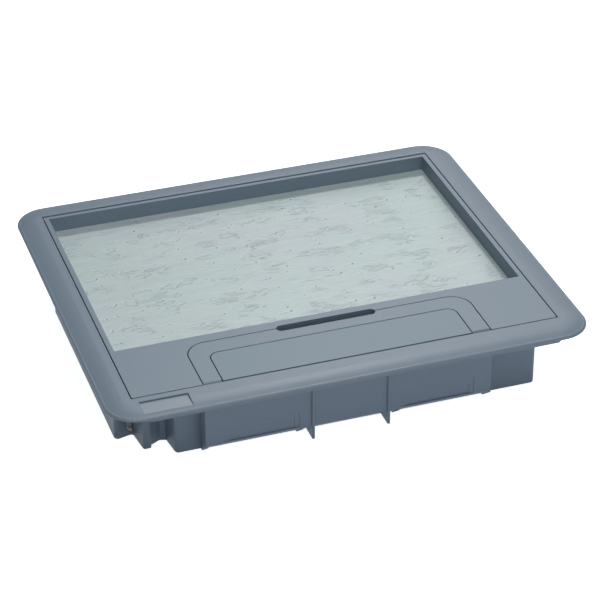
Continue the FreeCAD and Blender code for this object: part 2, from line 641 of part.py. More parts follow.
def module_support(row):
    y = row_y(row)
    half = MODULES_PER_ROW * MODULE / 2
    outer = half + SUPPORT_END
    deep = MODULE / 2 + SUPPORT_BORDER
    body = box(-outer, outer, y - deep, y + deep, SUPPORT_TOP - SUPPORT_T, SUPPORT_TOP)
    body = body.cut(box(-half, half, y - MODULE / 2, y + MODULE / 2, 0, HEIGHT))
    for side in (-1, 1):
        x0, x1 = sorted((side * (outer - 3.0), side * outer))
        body = body.fuse(box(x0, x1, y - 12.0, y + 12.0, WALL, SUPPORT_TOP - SUPPORT_T / 2))
        foot0, foot1 = sorted((side * (outer - 3.0), side * (outer + 10.0)))
        body = body.fuse(box(foot0, foot1, y - 12.0, y + 12.0, WALL, WALL + SUPPORT_T))
        body = body.cut(rod(side * (outer + 5.0), y, 0, HEIGHT / 2, 2.2))
    return body


def module_block(x, y):
    half = MODULE / 2 - MODULE_GAP
    wide = MODULE / 2 + MODULE_LAP
    face = box(x - half, x + half, y - wide, y + wide, SUPPORT_TOP, MODULE_TOP)
    face = face.fuse(box(x - half, x + half, y - half, y + half, SUPPORT_TOP - SUPPORT_T, SUPPORT_TOP))
    low = half - 1.0
    return face.fuse(box(x - low, x + low, y - low, y + low, MODULE_TOP - MODULE_BODY_DEPTH - MODULE_FACE,
                         SUPPORT_TOP - SUPPORT_T))


def socket_module(x, y):
    """Two-pole outlet with a round well, two contact holes and a standing earth pin."""
    body = module_block(x, y)
    well = MODULE_TOP - SOCKET_WELL_DEPTH
    body = body.cut(rod(x, y, well, MODULE_TOP + EPS, SOCKET_WELL_R))
    for side in (-1, 1):
        body = body.cut(rod(x + side * PIN_HOLE_PITCH / 2, y, well - 5.0, well + EPS, PIN_HOLE_R))
    return body.fuse(rod(x, y + 10.0, well - 0.5, MODULE_TOP - 1.0, EARTH_PIN_R))


def data_module(x, y):
    body = module_block(x, y)
    for side in (-1, 1):
        cx = x + side * MODULE / 4
        body = body.cut(box(cx - PORT_W / 2, cx + PORT_W / 2, y - PORT_H / 2, y + PORT_H / 2,
                            MODULE_TOP - PORT_DEPTH, MODULE_TOP + EPS))
    return body


def blank_module(x, y):
    half = MODULE / 2 - MODULE_GAP - 1.6
    body = module_block(x, y)
    return body.cut(box(x - half, x + half, y - half, y + half, 0, SUPPORT_TOP))


def divider():
    half = MODULES_PER_ROW * MODULE / 2 + SUPPORT_END
    y = FIRST_ROW_Y + ROW_PITCH / 2
    return box(-half, half, y - DIVIDER_T / 2, y + DIVIDER_T / 2, WALL, MODULE_TOP + 2.0)


# --- corner clamps -----------------------------------------------------------------------------------------------------------
REACH = NUT_SIDE / 2 + NUT_GAP
FRONT_CEILING = FLANGE_UNDER
CLAMPS = (
    {"name": "front_left", "x": LOBE_INNER_X - REACH, "y": -100.0, "ceiling": FRONT_CEILING, "arm": TOOTH_CLAMP_ARM, "way": 1},
    {"name": "front_right", "x": FRONT_NOTCH_X + REACH, "y": -103.5, "ceiling": FRONT_CEILING, "arm": FRONT_CLAMP_ARM, "way": 1},
    {"name": "back_left", "x": -NOTCH_X - REACH, "y": 122.0, "ceiling": BACK_NOTCH_TOP, "arm": BACK_CLAMP_ARM, "way": -1},
    {"name": "back_right", "x": NOTCH_X + REACH, "y": 122.0, "ceiling": BACK_NOTCH_TOP, "arm": BACK_CLAMP_ARM, "way": -1})


def clamp_levels(clamp):
    nut_top = clamp["ceiling"] - WALL - 3.0
    nut_low = nut_top - NUT_H
    return nut_top, nut_low, nut_low - COLLAR_H


def clamp_screw(clamp):
    x, y, z = clamp["x"], clamp["y"], clamp["ceiling"]
    tip = clamp_levels(clamp)[2] - CLAMP_TRAVEL
    body = rod(x, y, tip - 1.5, z + 0.1, SCREW_R)
    head = rod(x, y, z, z + SCREW_HEAD_H, SCREW_HEAD_R)
    body = body.fuse(head)
    slot = box(x - 2.6, x + 2.6, y - 0.5, y + 0.5, z + SCREW_HEAD_H - 1.0, z + SCREW_HEAD_H + EPS)
    return body.cut(slot)


def clamp_nut(clamp):
    x, y = clamp["x"], clamp["y"]
    top, low, collar = clamp_levels(clamp)
    half = NUT_SIDE / 2
    body = box(x - half, x + half, y - half, y + half, low, top)
    body = body.fuse(rod(x, y, collar, low + 0.1, COLLAR_R))
    lip = COLLAR_R + 0.6
    body = body.fuse(box(x - lip, x + lip, y - lip, y + lip, collar - COLLAR_LIP, collar))
    return body.cut(rod(x, y, collar - COLLAR_LIP - EPS, top + EPS, SCREW_R + RUNNING_FIT))


def clamp_arm(clamp):
    x, y, way = clamp["x"], clamp["y"], clamp["way"]
    low, collar = clamp_levels(clamp)[1:]
    z0, z1 = collar, low
    half = CLAMP_ARM_W / 2
    y0, y1 = sorted((y, y + way * clamp["arm"]))
    body = rod(x, y, z0, z1, CLAMP_RING_R)
    body = body.fuse(box(x - half, x + half, y0, y1, z0, z1))
    return body.cut(rod(x, y, z0 - EPS, z1 + EPS, COLLAR_R + RUNNING_FIT))


def main():
    for name, piece in {**casing_pieces(), **lid_pieces()}.items():
        save(name, piece)
    save("trim_frame", trim_frame())
    save("badge_blank", badge_blank())
    save("steel_plate", steel_plate())
    save("pull_handle", pull_handle())
    save("cable_flap", cable_flap())
    save("flap_foam", flap_foam())
    for side, word in ((-1, "left"), (1, "right")):
        save("hinge_pin_" + word, hinge_pin(side))
        save("handle_pin_" + word, handle_pin(side))
        save("flap_pin_" + word, flap_pin(side))
    makers = {"s": ("socket", socket_module), "d": ("data", data_module), "b": ("blank", blank_module)}
    layout = {"front": "ddbb", "middle": "bssb", "back": "ssss"}
    for row, row_name in enumerate(ROWS):
        save("support_" + row_name, module_support(row))
        for slot, kind in enumerate(layout[row_name]):
            word, make = makers[kind]
            save("%s_%s_%d" % (word, row_name, slot + 1), make(module_x(slot), row_y(row)))
    save("divider", divider())
    for clamp in CLAMPS:
        save("clamp_screw_" + clamp["name"], clamp_screw(clamp))
        save("clamp_nut_" + clamp["name"], clamp_nut(clamp))
        save("clamp_arm_" + clamp["name"], clamp_arm(clamp))


main()
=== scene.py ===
import json
import math

import bmesh
import bpy
from mathutils import Matrix, Vector


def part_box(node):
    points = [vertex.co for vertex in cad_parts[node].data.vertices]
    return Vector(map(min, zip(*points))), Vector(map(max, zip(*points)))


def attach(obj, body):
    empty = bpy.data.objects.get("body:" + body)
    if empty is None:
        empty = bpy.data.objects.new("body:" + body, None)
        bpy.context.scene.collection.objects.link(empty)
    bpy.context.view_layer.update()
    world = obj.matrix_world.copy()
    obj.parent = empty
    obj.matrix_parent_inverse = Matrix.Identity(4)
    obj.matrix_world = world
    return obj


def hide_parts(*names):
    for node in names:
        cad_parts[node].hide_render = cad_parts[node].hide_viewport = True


# Shallow floor socket box: domed trim frame, hinged lid with a recess for the floor covering, pull
# handle round the cable flap, three rows of outlets inside and a claw clamp at each corner.
# Metres, +Z up, +Y towards the hinge.

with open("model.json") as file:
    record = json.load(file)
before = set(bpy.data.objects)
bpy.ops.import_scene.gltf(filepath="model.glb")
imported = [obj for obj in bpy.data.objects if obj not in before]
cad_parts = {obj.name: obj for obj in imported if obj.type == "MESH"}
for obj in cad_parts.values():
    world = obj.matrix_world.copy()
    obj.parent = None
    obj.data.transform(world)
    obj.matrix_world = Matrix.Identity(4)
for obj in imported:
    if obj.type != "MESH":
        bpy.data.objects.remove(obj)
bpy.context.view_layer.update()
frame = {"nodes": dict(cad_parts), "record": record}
NODES = frame["nodes"]
MM = 0.001

# linear colours
FRAME_BLUE_GREY = (0.226, 0.290, 0.362)
LID_BLUE_GREY = (0.226, 0.296, 0.366)
FLAP_BLUE_GREY = (0.220, 0.303, 0.364)
# casing: lighter and bluer than the frame's plastic, partly its own tint, partly painted light on its shaded
# front walls
CASING_BLUE_GREY = (0.238, 0.306, 0.388)
BADGE_GREY = (0.290, 0.350, 0.418)
ZINC_GREEN = (0.520, 0.620, 0.600)
ZINC_LILAC = (0.550, 0.600, 0.630)
OUTLET_WHITE = (0.820, 0.825, 0.810)
SUPPORT_GREY = (0.110, 0.125, 0.140)
FOAM_BLACK = (0.020, 0.021, 0.024)
PIN_STEEL = (0.300, 0.300, 0.300)
SCREW_STEEL = (0.270, 0.265, 0.255)
DARK_CASTING = (0.085, 0.068, 0.058)
BRASS = (0.700, 0.520, 0.240)
GOLD = (0.820, 0.620, 0.260)
FLOOR_WHITE = (0.86, 0.87, 0.90)
WORLD_TINT = (0.80, 0.92, 1.0)
COOL_WHITE = (0.92, 0.97, 1.0)
WHITE = (1, 1, 1)

# finishes
SEAM_REACH = 1.2                    # plain band along a flush seam, in edge radii
PIT_EDGE = (0.45 * MM, 1.35 * MM)   # pits in the galvanised sheet: where each fades out
# halo round each pit: a painted highlight on its raised rim
HALO_RISE = (0.8 * MM, 1.6 * MM)
HALO_FALL = (1.6 * MM, 2.8 * MM)
TAIL_PAST = 1.2 * MM                # a hook's tail runs this far past its pit
TAIL_START = (-TAIL_PAST, 0.2 * MM)
TAIL_FADE = 1.6 * MM
TAIL_SIDE = 0.9 * MM                # middle of a hook to the middle of its bright or dark side
# a hook's lit side carries a painted highlight and its other side painted shade
LIT_SIDE_SPAN = (0.15 * MM, 0.75 * MM)
SHADE_SIDE_SPAN = (0.10 * MM, 0.65 * MM)

# small parts; profiles are (radius, height) in mm, with height 0 where the part rests
SHARP_ANGLE = 40                    # degrees
PAN_SCREW = [(0, 3.3), (1.5, 3.2), (2.6, 2.7), (3.3, 1.8), (3.5, 0.9), (3.5, 0.7), (4.4, 0.7), (4.4, 0.0),
             (1.9, 0.0), (1.9, -2.2), (0, -2.2)]
CROSS_REACH = 2.1 * MM
CROSS_HALF = 0.45 * MM
CROSS_TOP = 5 * MM                  # past the head
CROSS_FLOORS = (1.7 * MM, 1.75 * MM)    # a step apart, so that the two grooves share no face
FOOT_T = 2.5 * MM                   # foot of an outlet support
FOOT_INSET = 5 * MM                 # end of a foot to its screw
SLEEVE = [(2.55, 0.0), (2.55, -0.5), (2.15, -0.5), (2.15, -4.5), (1.8, -4.5), (1.8, -0.6), (2.1, -0.1),
          (2.55, 0.0)]
SLEEVE_PITCH = 19 * MM
SLEEVE_SINK = 0.1 * MM
SOCKET_WELL = 9 * MM
WIRE_BENDS = [(-4.4, -9.6), (-4.4, -7.6), (-3.4, -6.6), (1.6, -3.2), (2.6, -4.2)]   # (y, z) in mm
WIRE_HALF = 0.22 * MM
WIRE_T = 0.22 * MM
WIRES = 8
WIRE_PITCH = 1.05 * MM
THREAD_PITCH = 0.8 * MM
THREAD_R = 1.98 * MM
THREAD_RIDGE_R = 0.30 * MM
THREAD_INSET = 0.9 * MM             # tip of the screw to the thread's start
THREAD_STEPS = 20
CLAMP_CORE_R = 1.85 * MM
CLAMP_SHANK_R = 2.25 * MM
CLAMP_HEAD_R = 4.0 * MM
CLAMP_HEAD_H = 1.9 * MM
CLAMP_SLOT_HALF = 0.5 * MM
CLAMP_SLOT_DEPTH = 1.0 * MM
CLAMP_STEPS = 32

# stage
AIM = (0, 0, 30 * MM)
FLOOR_REACH = 6.0
FLOOR_LEVEL = -0.0004
FLOOR_GLOW = 0.93
WORLD_LIGHT = 0.10
LENS = 138.45
SENSOR_WIDTH = 36.0
CLIP_START = 0.05
CAMERA_PLACE = (-0.45792, -1.37714, 0.94252)
CAMERA_TURN = (18.623, 32.114, -0.2466)     # heading, look down and tilt, degrees


# --- shader maths ----------------------------------------------------------------------------------------
class Value:
    """A shader socket that can stand in a sum: each operator adds its Math node."""

    def __init__(self, finish, socket):
        self.finish = finish
        self.socket = socket

    def math(self, operation, *rest):
        terms = dict(enumerate((self, *rest)))
        return self.finish.node("ShaderNodeMath", {"operation": operation}, terms)

    def flipped(self, operation, first):
        return self.finish.node("ShaderNodeMath", {"operation": operation}, {0: first, 1: self})

    def __add__(self, other):
        return self.math("ADD", other)

    def __radd__(self, other):
        return self.flipped("ADD", other)

    def __sub__(self, other):
        return self.math("SUBTRACT", other)

    def __rsub__(self, other):
        return self.flipped("SUBTRACT", other)

    def __mul__(self, other):
        return self.math("MULTIPLY", other)

    def __rmul__(self, other):
        return self.flipped("MULTIPLY", other)

    def __lt__(self, other):
        return self.math("LESS_THAN", other)

    def size(self):
        return self.math("ABSOLUTE")


class Finish:
    """A material and the nodes that its look is worked out with."""

    def __init__(self, name):
        self.material = bpy.data.materials.new(name)
        self.material.use_nodes = True
        self.tree = self.material.node_tree
        self.tree.nodes.clear()
        self.place = self.node("ShaderNodeTexCoord", out="Object")

    def node(self, kind, settings=None, sockets=None, out=0):
        """Adds a node, sets its settings and then its sockets, and gives its output `out`."""
        made = self.tree.nodes.new(kind)
        for key, setting in (settings or {}).items():
            setattr(made, key, setting)
        for key, value in (sockets or {}).items():
            if isinstance(value, Value):
                self.tree.links.new(value.socket, made.inputs[key])
            else:
                made.inputs[key].default_value = value
        if isinstance(out, tuple):
            return [Value(self, made.outputs[key]) for key in out]
        return Value(self, made.outputs[out])

    def scaled(self, scale):
        return self.node("ShaderNodeMapping", {}, {"Vector": self.place, "Scale": scale})

    def noise(self, scale, detail=2.0, roughness=0.5, stretch=(1, 1, 1)):
        """Cloud noise from -1 to 1 with about `scale` clouds a metre."""
        cloud = self.node("ShaderNodeTexNoise", {}, {"Vector": self.scaled(stretch), "Scale": scale,
                                                     "Detail": detail, "Roughness": roughness})
        return (cloud - 0.5) * 2.0

    def mix(self, factor, first, second):
        """One colour turning into another."""
        return self.node("ShaderNodeMix", {"data_type": "RGBA", "clamp_factor": True},
                         {0: factor, 6: (*first, 1), 7: (*second, 1)}, out=2)

    def lit(self, colour, tone):
        """A colour made lighter or darker by the number `tone`."""
        return self.node("ShaderNodeVectorMath", {"operation": "SCALE"}, {0: colour, "Scale": tone})

    def step(self, value, low, high):
        """0 below `low`, 1 above `high`, smooth between."""
        return self.node("ShaderNodeMapRange", {"interpolation_type": "SMOOTHSTEP"},
                         {"Value": value, "From Min": low, "From Max": high})

    def eased(self, radius, samples=6, flush=None):
        """A normal that rounds the sharp edges, but not those at the level `flush`, where two pieces meet."""
        rounded = self.node("ShaderNodeBevel", {"samples": samples}, {"Radius": radius})
        if flush is None:
            return rounded
        plain = self.node("ShaderNodeNewGeometry", {}, {}, out="Normal")
        level = self.node("ShaderNodeSeparateXYZ", {}, {0: self.place}, out="Z")
        near = (level - flush).size() < radius * SEAM_REACH
        return self.node("ShaderNodeMix", {"data_type": "VECTOR"}, {0: near, 4: rounded, 5: plain}, out=1)

    def relief(self, height, depth, under, strength=1.0):
        return self.node("ShaderNodeBump", {}, {"Strength": strength, "Distance": depth, "Height": height,
                                                "Normal": under})

    def close(self, **sockets):
        """Ends the material in one Principled shader; Base_Color stands for Base Color."""
        named = {key.replace("_", " "): value for key, value in sockets.items()}
        shader = self.node("ShaderNodeBsdfPrincipled", {}, named)
        self.node("ShaderNodeOutputMaterial", {}, {"Surface": shader}, out=())
        return self.material


def moulded(name, colour, rough=0.41, grain=1.0, edge=0.45 * MM, flush=None):
    """Satin moulded plastic: a fine spark-eroded grain, faint flow clouds and eased edges."""
    f = Finish(name)
    flow = f.noise(11, 3)
    speck = f.noise(900, 2)
    tone = 1 + flow * 0.030 + speck * 0.020
    grit = f.noise(2600, 3, 0.6)
    return f.close(Base_Color=f.lit(colour, tone),
                   Roughness=rough + flow * 0.03 + speck * 0.03,
                   IOR=1.49,
                   Normal=f.relief(grit, 0.012 * MM * grain, f.eased(edge, flush=flush)))


def zinc_sheet(name):
    """Galvanised sheet: wavy rolling streaks along X, drifting tints, and pits with a short raised hook;
    painted highlights on the hooks' halos and lit sides, painted shade on their other sides.
    """
    f = Finish(name)
    drift = f.noise(16, 3, 0.55, (0.8, 1.3, 1))
    sway = f.noise(26, 2, 0.5, (0.7, 1.0, 1)) * 3.0 * MM
    lift = f.node("ShaderNodeCombineXYZ", {}, {"Y": sway})
    wavy = f.node("ShaderNodeVectorMath", {"operation": "ADD"}, {0: f.place, 1: lift})

    def streaks(across, along, detail):
        """Streaks `along` long and `across` wide, from -1 to 1."""
        laid = f.node("ShaderNodeMapping", {}, {"Vector": wavy, "Scale": (1 / along, 1 / across, 1)})
        cloud = f.node("ShaderNodeTexNoise", {}, {"Vector": laid, "Scale": 1.0, "Detail": detail,
                                                  "Roughness": 0.6})
        return (cloud - 0.5) * 2.0

    broad = streaks(7.0 * MM, 60 * MM, 3)
    streak = streaks(2.2 * MM, 26 * MM, 3)
    fine = streaks(0.9 * MM, 7 * MM, 2)
    level = streaks(6.5 * MM, 20 * MM, 1) * 2.6
    rim = 1 - f.step((level.math("FRACT") - 0.5).size(), 0.05, 0.24)
    patch = f.step(f.noise(60, 2, 0.5, (0.6, 1.2, 1)), -0.05, 0.25)
    grain = rim * patch

    def hooks(cell_x, cell_y, shift, share, reach):
        """Masks of the pits, their halos and the two sides of their tails, one pit in each chosen cell; the
        halos and lit sides carry painted highlights, the shade sides painted shade.
        """
        at = f.node("ShaderNodeMapping", {}, {"Vector": wavy, "Location": (shift, shift * 0.37, 0),
                                              "Scale": (1 / cell_x, 1 / cell_y, 0)})
        colour, point = f.node("ShaderNodeTexVoronoi", {"voronoi_dimensions": "2D"},
                               {"Vector": at, "Scale": 1.0, "Randomness": 1.0}, out=("Color", "Position"))
        away = f.node("ShaderNodeVectorMath", {"operation": "SUBTRACT"}, {0: at, 1: point})
        across, along = f.node("ShaderNodeSeparateXYZ", {}, {0: away}, out=(0, 1))
        chance, length, turn = f.node("ShaderNodeSeparateColor", {}, {0: colour}, out=(0, 1, 2))
        dx = across * cell_x
        dy = along * cell_y
        chosen = chance < share
        bold = 0.35 + turn * 0.65
        far = (dx * dx + dy * dy).math("SQRT")
        pit = (1 - f.step(far, *PIT_EDGE)) * chosen * bold
        halo = f.step(far, *HALO_RISE) * (1 - f.step(far, *HALO_FALL)) * chosen * bold
        tail_end = f.step(dx + length * reach + TAIL_PAST, 0, TAIL_FADE)
        tail = (1 - f.step(dx, *TAIL_START)) * tail_end * chosen
        lit_side = (1 - f.step((dy - TAIL_SIDE).size(), *LIT_SIDE_SPAN)) * tail * bold
        shade_side = (1 - f.step((dy + TAIL_SIDE).size(), *SHADE_SIDE_SPAN)) * tail * bold
        return pit, halo, lit_side, shade_side

    pit, halo, lit_side, shade_side = hooks(24.0 * MM, 18.0 * MM, 0.0, 0.60, 13.0 * MM)
    pit2, halo2, lit_side2, shade_side2 = hooks(17.0 * MM, 12.0 * MM, 0.113, 0.25, 6.0 * MM)
    pits = pit * 1.0 + pit2 * 0.6
    # painted highlights (halos, lit sides) and painted shade (shade sides), in the colour as well as the bump
    glints = halo * 0.6 + lit_side * 0.8 + (halo2 + lit_side2) * 0.45
    shades = shade_side * 0.9 + shade_side2 * 0.5
    tint = f.mix(f.step(drift + broad * 0.35, -0.40, 0.60), ZINC_GREEN, ZINC_LILAC)
    tone = (1 + broad * 0.08 + streak * 0.12 + fine * 0.08 + drift * 0.02 + glints * 0.17 - pits * 0.45
            - shades * 0.24 - grain * 0.075)
    height = streak * 0.45 + fine * 0.25 + glints * 0.8 - pits * 1.2 - shades * 0.5 - grain * 2.0
    return f.close(Base_Color=f.lit(tint, tone),
                   Metallic=0.20,
                   Roughness=0.48 + streak * 0.06 + drift * 0.03,
                   Normal=f.relief(height, 0.10 * MM, f.eased(0.3 * MM)))


def glossy_white(name, colour):
    f = Finish(name)
    cloud = f.noise(25, 3)
    grit = f.noise(1500, 2)
    return f.close(Base_Color=f.lit(colour, 1 + cloud * 0.015),
                   Roughness=0.24 + cloud * 0.03,
                   IOR=1.50,
                   Coat_Weight=0.15,
                   Normal=f.relief(grit, 0.003 * MM, f.eased(0.5 * MM)))


def turned_metal(name, colour, rough, edge=0.15 * MM):
    """Machined or plated steel with fine turning lines and dulled patches."""
    f = Finish(name)
    lines = f.noise(500, 2, 0.5, (0.3, 0.3, 9.0))
    dull = f.noise(180, 4, 0.6)
    return f.close(Base_Color=f.lit(colour, 1 + lines * 0.06 - dull * 0.08),
                   Metallic=1.0,
                   Roughness=rough + dull * 0.10,
                   Normal=f.relief(lines, 0.010 * MM, f.eased(edge)))


def cast_metal(name, colour):
    f = Finish(name)
    lumps = f.noise(650, 4, 0.65)
    stain = f.noise(120, 3)
    return f.close(Base_Color=f.lit(colour, 1 + stain * 0.18 + lumps * 0.10),
                   Metallic=0.6,
                   Roughness=0.52 + stain * 0.10,
                   Normal=f.relief(lumps, 0.06 * MM, f.eased(0.4 * MM)))


def foam_rubber(name, colour):
    """Closed-cell strip: small cells that catch a little light on their rims."""
    f = Finish(name)
    cells = f.node("ShaderNodeTexVoronoi", {"feature": "DISTANCE_TO_EDGE"},
                   {"Vector": f.place, "Scale": 1400.0})
    rims = 1 - f.step(cells, 0.02, 0.16)
    return f.close(Base_Color=f.lit(colour, 1 + rims * 0.8 + f.noise(60) * 0.2),
                   Roughness=0.9,
                   Normal=f.relief(rims, 0.08 * MM, f.eased(0.5 * MM)))


FINISHES = {
    "trim_plastic": moulded("frame_plastic", FRAME_BLUE_GREY, edge=0.8 * MM),
    "lid_plastic": moulded("lid_plastic", LID_BLUE_GREY, flush=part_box("lid_panel")[0][2]),
    "flap_plastic": moulded("flap_plastic", FLAP_BLUE_GREY, rough=0.42),
    # the casing's colour carries some painted light for its shaded front walls
    "casing_plastic": moulded("casing_plastic", CASING_BLUE_GREY, rough=0.52, grain=1.4, edge=0.6 * MM),
    "badge_plate": moulded("badge_insert", BADGE_GREY, rough=0.36, grain=0.5, edge=0.3 * MM),
    "floor_plate_steel": zinc_sheet("galvanised_plate"),
    "foam": foam_rubber("foam_strip", FOAM_BLACK),
    "pin_steel": turned_metal("ground_pin", PIN_STEEL, 0.32),
    "clamp_steel": turned_metal("passivated_screw", SCREW_STEEL, 0.36),
    "clamp_zinc": cast_metal("clamp_casting", DARK_CASTING),
    "socket_white": glossy_white("socket_white", OUTLET_WHITE),
    "data_white": glossy_white("data_white", OUTLET_WHITE),
    "blank_white": glossy_white("blank_white", OUTLET_WHITE),
    "support_plastic": moulded("support_plastic", SUPPORT_GREY, rough=0.55, grain=1.2),
    "brass": turned_metal("contact_brass", BRASS, 0.30),
    "gold": turned_metal("contact_gold", GOLD, 0.25, 0.05 * MM)}
LID_MOULDING = ("lid_panel", "lid_tray", "grip_well", "pull_handle")


def dress_cad_nodes():
    """Gives every CAD node its finish; the lid and its handle share one shade, apart from the frame's."""
    slots = {part["node"]: part["material_slot"] for part in frame["record"]["subparts"]}
    for name, piece in NODES.items():
        finish = "lid_plastic" if name in LID_MOULDING else slots[name]
        if name.startswith("clamp_nut"):
            finish = "clamp_zinc"
        for slot in piece.material_slots:
            slot.material = FINISHES[finish]


# --- geometry nodes --------------------------------------------------------------------------------------
class Grower:
    """A geometry-node tree with named inputs, and the modifier that runs it on a piece."""

    def __init__(self, name, inputs):
        self.tree = bpy.data.node_groups.new(name, "GeometryNodeTree")
        face = self.tree.interface
        face.new_socket("Geometry", in_out="INPUT", socket_type="NodeSocketGeometry")
        for key, kind in inputs.items():
            face.new_socket(key, in_out="INPUT", socket_type="NodeSocket" + kind)
        face.new_socket("Geometry", in_out="OUTPUT", socket_type="NodeSocketGeometry")
        self.given = self.tree.nodes.new("NodeGroupInput").outputs
        self.result = self.tree.nodes.new("NodeGroupOutput").inputs

    def node(self, kind, settings=None, sockets=None, out=0):
        made = self.tree.nodes.new(kind)
        for key, setting in (settings or {}).items():
            setattr(made, key, setting)
        for key, value in (sockets or {}).items():
            if isinstance(value, bpy.types.NodeSocket):
                self.tree.links.new(value, made.inputs[key])
            else:
                made.inputs[key].default_value = value
        return made.outputs[out]

    def end(self, geometry):
        real = self.node("GeometryNodeRealizeInstances", {}, {0: geometry})
        dressed = self.node("GeometryNodeSetMaterial", {}, {0: real, "Material": self.given["Material"]})
        self.tree.links.new(dressed, self.result[0])

    def grow(self, piece, **values):
        """Adds the tree to a piece; Pitch_X stands for the input Pitch X."""
        modifier = piece.modifiers.new(self.tree.name, "NODES")
        modifier.node_group = self.tree
        for key, value in values.items():
            item = self.tree.interface.items_tree[key.replace("_", " ")]
            modifier[item.identifier] = value


def grid_tree():
    """Copies what it is given to every point of a level grid centred on Middle."""
    g = Grower("grid_of_copies", {"Columns": "Int", "Rows": "Int", "Pitch X": "Float", "Pitch Y": "Float",
                                  "Middle": "Vector", "Material": "Material"})

    def span(count, pitch):
        fewer = g.node("ShaderNodeMath", {"operation": "SUBTRACT"}, {0: g.given[count], 1: 1.0})
        return g.node("ShaderNodeMath", {"operation": "MULTIPLY"}, {0: fewer, 1: g.given[pitch]})

    grid = g.node("GeometryNodeMeshGrid", {}, {"Size X": span("Columns", "Pitch X"),
                                               "Size Y": span("Rows", "Pitch Y"),
                                               "Vertices X": g.given["Columns"],
                                               "Vertices Y": g.given["Rows"]})
    points = g.node("GeometryNodeMeshToPoints", {}, {0: grid})
    placed = g.node("GeometryNodeSetPosition", {}, {0: points, "Offset": g.given["Middle"]})
    g.end(g.node("GeometryNodeInstanceOnPoints", {}, {"Points": placed, "Instance": g.given["Geometry"]}))
    return g


def thread_tree():
    """Winds a ridge of triangular section round the given core, from Foot upwards."""
    g = Grower("screw_thread", {"Turns": "Float", "Pitch": "Float", "Radius": "Float", "Foot": "Vector",
                                "Material": "Material"})
    height = g.node("ShaderNodeMath", {"operation": "MULTIPLY"}, {0: g.given["Turns"], 1: g.given["Pitch"]})
    path = g.node("GeometryNodeCurveSpiral", {}, {"Resolution": THREAD_STEPS, "Rotations": g.given["Turns"],
                                                  "Start Radius": g.given["Radius"],
                                                  "End Radius": g.given["Radius"],
                                                  "Height": height})
    section = g.node("GeometryNodeCurvePrimitiveCircle", {"mode": "RADIUS"},
                     {"Resolution": 3, "Radius": THREAD_RIDGE_R})
    ridge = g.node("GeometryNodeCurveToMesh", {}, {"Curve": path, "Profile Curve": section,
                                                   "Fill Caps": True})
    raised = g.node("GeometryNodeTransform", {}, {"Geometry": ridge, "Translation": g.given["Foot"]})
    joined = g.tree.nodes.new("GeometryNodeJoinGeometry")
    g.tree.links.new(raised, joined.inputs[0])
    g.tree.links.new(g.given["Geometry"], joined.inputs[0])
    g.end(joined.outputs[0])
    return g


def settle(piece):
    """Turns a piece with modifiers into a plain mesh."""
    solid = bpy.data.meshes.new_from_object(piece.evaluated_get(bpy.context.evaluated_depsgraph_get()))
    piece.modifiers.clear()
    piece.data = solid
    return piece


def new_piece(name, mesh_maker):
    work = bmesh.new()
    mesh_maker(work)
    bmesh.ops.remove_doubles(work, verts=work.verts, dist=1e-7)
    bmesh.ops.recalc_face_normals(work, faces=work.faces)
    mesh = bpy.data.meshes.new(name)
    work.to_mesh(mesh)
    work.free()
    mesh.shade_smooth()
    mesh.set_sharp_from_angle(angle=math.radians(SHARP_ANGLE))
    piece = bpy.data.objects.new(name, mesh)
    bpy.context.scene.collection.objects.link(piece)
    return piece


def lathe(work, profile, steps=24, centre=(0, 0, 0)):
    """Turns a list of (radius, height) points round an upright axis."""
    middle = Vector(centre)
    points = [work.verts.new(middle + Vector((r, 0, z))) for r, z in profile]
    edges = [work.edges.new(pair) for pair in zip(points, points[1:])]
    bmesh.ops.spin(work, geom=points + edges, cent=middle, axis=(0, 0, 1), angle=math.tau, steps=steps,
                   use_merge=True)


def block(work, low, high):
    """An upright box between two corners."""
    size = Vector(high) - Vector(low)
    middle = (Vector(high) + Vector(low)) / 2
    bmesh.ops.create_cube(work, size=1, matrix=Matrix.Translation(middle) @ Matrix.Diagonal((*size, 1)))


def cut(piece, cutter_maker):
    """Takes the cutter's shape out of a piece."""
    cutter = new_piece("cutter", cutter_maker)
    modifier = piece.modifiers.new("cut", "BOOLEAN")
    modifier.operation = "DIFFERENCE"
    modifier.solver = "EXACT"
    modifier.use_self = True
    modifier.object = cutter
    settle(piece)
    bpy.data.objects.remove(cutter)
    return piece


# --- small parts the CAD leaves to this file ---------------------------------------------------------------
GRID = grid_tree()
THREAD = thread_tree()


def in_metres(profile):
    return [(first * MM, second * MM) for first, second in profile]


def middle_of(node):
    low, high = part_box(node)
    return (Vector(low) + Vector(high)) / 2


def support_screws():
    """Six pan-head screws with washers that hold the feet of the outlet supports to the casing's floor."""
    low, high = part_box("support_front")
    foot_top = low[2] + FOOT_T
    screw = new_piece("support_screws", lambda work: lathe(work, in_metres(PAN_SCREW)))

    def cross(work):
        block(work, (-CROSS_REACH, -CROSS_HALF, CROSS_FLOORS[0]), (CROSS_REACH, CROSS_HALF, CROSS_TOP))
        block(work, (-CROSS_HALF, -CROSS_REACH, CROSS_FLOORS[1]), (CROSS_HALF, CROSS_REACH, CROSS_TOP))

    cut(screw, cross)
    rows = [middle_of("support_" + row).y for row in ("front", "middle", "back")]
    GRID.grow(screw, Columns=2, Rows=3, Pitch_X=2 * (high[0] - FOOT_INSET), Pitch_Y=rows[1] - rows[0],
              Middle=(0, rows[1], foot_top), Material=FINISHES["clamp_steel"])
    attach(settle(screw), "casing")


